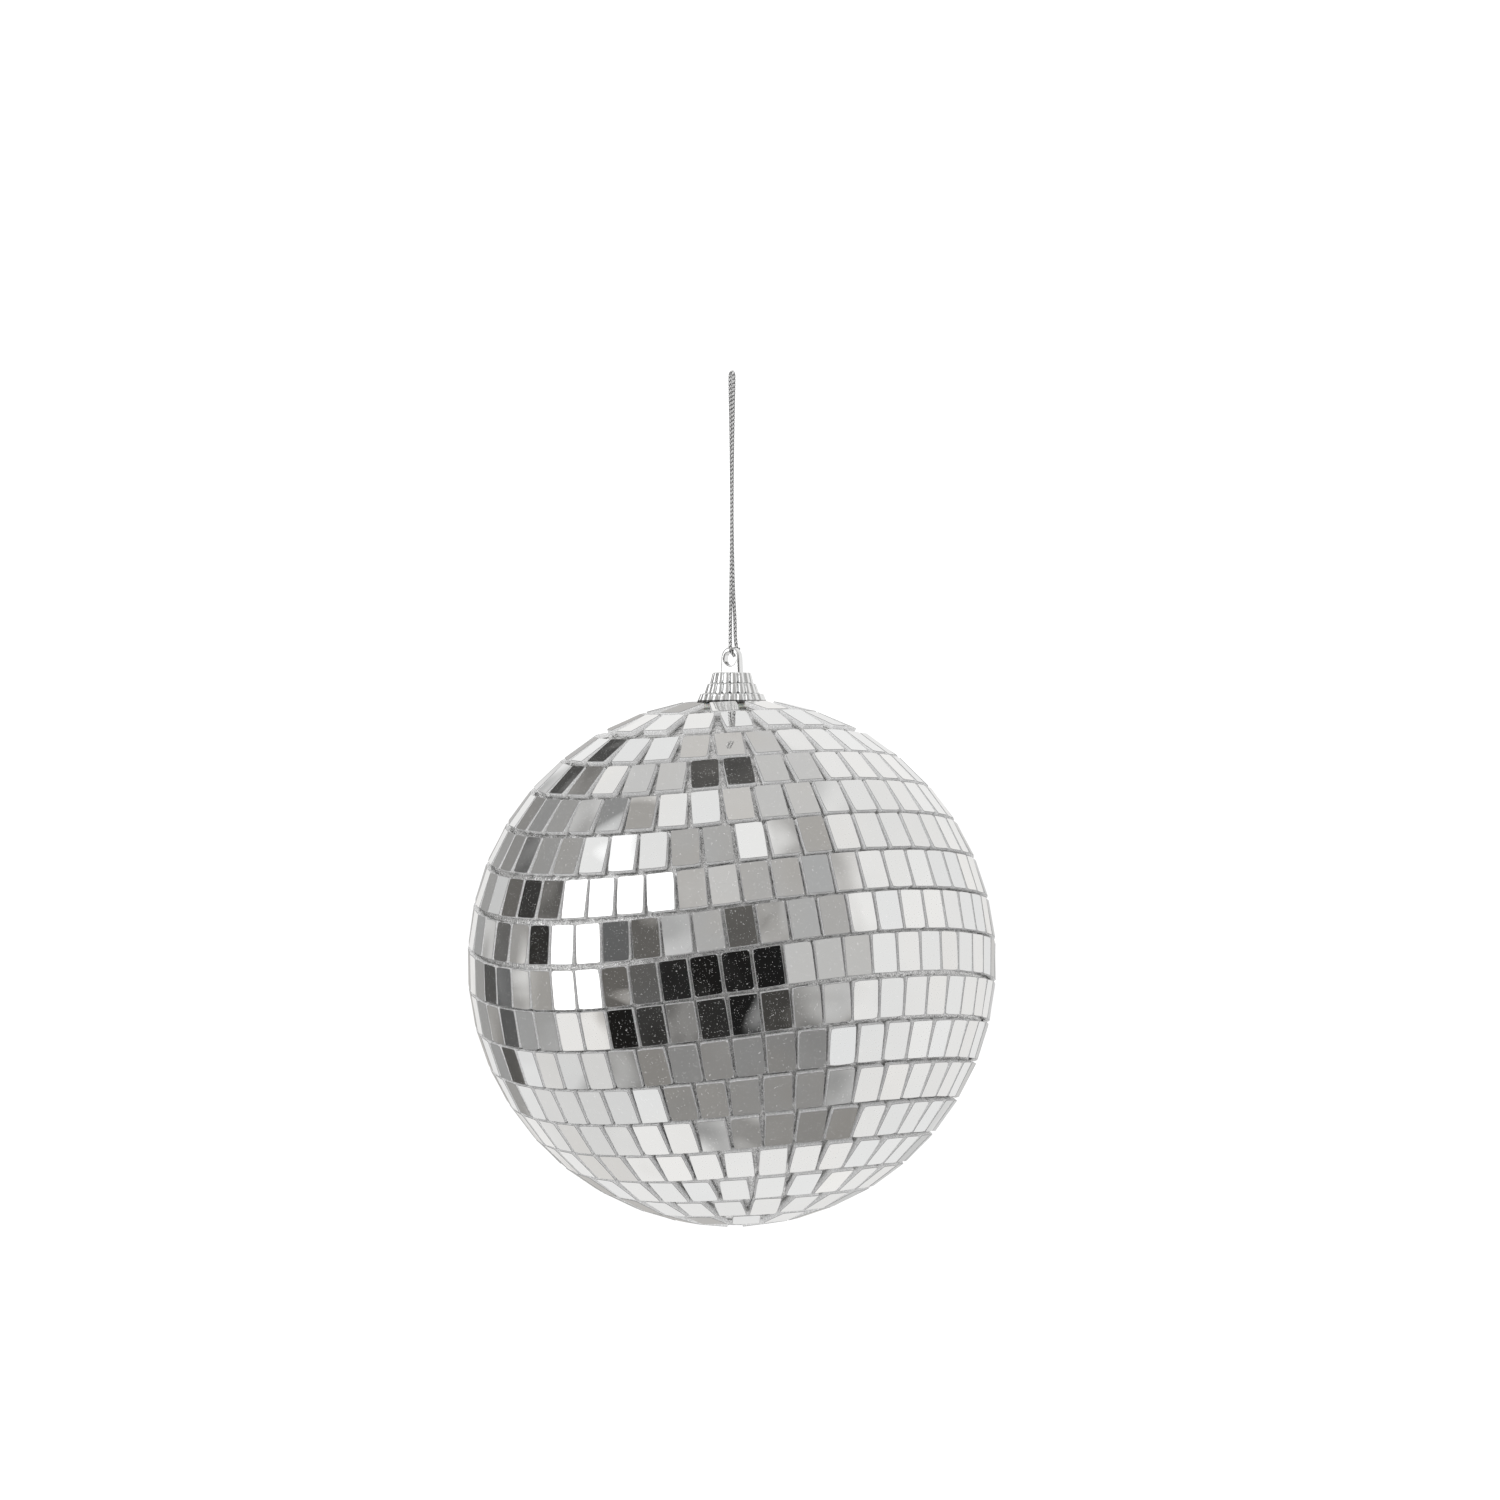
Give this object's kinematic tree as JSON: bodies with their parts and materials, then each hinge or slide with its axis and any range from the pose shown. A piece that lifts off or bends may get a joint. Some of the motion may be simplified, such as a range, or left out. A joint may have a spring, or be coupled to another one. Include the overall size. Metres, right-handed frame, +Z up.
{
  "type": "mirror ball",
  "caption": "Hanging mirror ball: foam core, rows of flat mirror tiles on adhesive pads, tiered crown cap with eye, and a metallic cord loop.",
  "frame": {"origin": "inside the top fold of the cord loop, where a hook carries it", "axes": "+Z up, the ball hanging below on the Z axis; the front of the eye faces -Y turned 36 degrees towards -X"},
  "size_m": [0.1002, 0.1003, 0.1625],
  "materials": {
    "mirror_glass": "silvered clear glass",
    "base_skin": "crinkled silver",
    "adhesive": "matt",
    "foam": "expanded foam",
    "cap_plastic": "metallised moulded plastic",
    "glue": "translucent hot-melt",
    "lurex_cord": "braided metallic thread"
  },
  "bodies": {
    "cord_top": {"cord_loop_upper": "lurex_cord"},
    "cord_bight": {"cord_loop_lower": "lurex_cord", "cord_knot": "lurex_cord"},
    "ball": {"foam_core": "foam", "silver_base_skin": "base_skin", "crown_cap": "cap_plastic", "eye_peg": "cap_plastic", "cap_glue": "glue", "mirror_tiles_bottom": "mirror_glass", "mirror_tiles_row_01": "mirror_glass", "mirror_tiles_row_02": "mirror_glass", "mirror_tiles_row_03": "mirror_glass", "mirror_tiles_row_04": "mirror_glass", "mirror_tiles_row_05": "mirror_glass", "mirror_tiles_row_06": "mirror_glass", "mirror_tiles_row_07": "mirror_glass", "mirror_tiles_row_08": "mirror_glass", "mirror_tiles_row_09": "mirror_glass", "mirror_tiles_row_10": "mirror_glass", "mirror_tiles_row_11": "mirror_glass", "mirror_tiles_row_12": "mirror_glass", "mirror_tiles_row_13": "mirror_glass", "mirror_tiles_row_14": "mirror_glass", "mirror_tiles_row_15": "mirror_glass", "mirror_tiles_row_16": "mirror_glass", "mirror_tiles_row_17": "mirror_glass", "mirror_tiles_row_18": "mirror_glass", "adhesive_bottom": "adhesive", "adhesive_row_01": "adhesive", "adhesive_row_02": "adhesive", "adhesive_row_03": "adhesive", "adhesive_row_04": "adhesive", "adhesive_row_05": "adhesive", "adhesive_row_06": "adhesive", "adhesive_row_07": "adhesive", "adhesive_row_08": "adhesive", "adhesive_row_09": "adhesive", "adhesive_row_10": "adhesive", "adhesive_row_11": "adhesive", "adhesive_row_12": "adhesive", "adhesive_row_13": "adhesive", "adhesive_row_14": "adhesive", "adhesive_row_15": "adhesive", "adhesive_row_16": "adhesive", "adhesive_row_17": "adhesive", "adhesive_row_18": "adhesive"}
  },
  "joints": [
    {"name": "cord_twist", "type": "hinge", "parent": "cord_top", "child": "cord_bight", "pos_m": [0, 0, -0.04375], "axis": [0, 0, 1], "continuous": true},
    {"name": "eye_rock", "type": "hinge", "parent": "cord_bight", "child": "ball", "pos_m": [0, 0, -0.05425], "axis": [-0.5878, -0.809, 0], "range_deg": [-80, 80]}
  ]
}
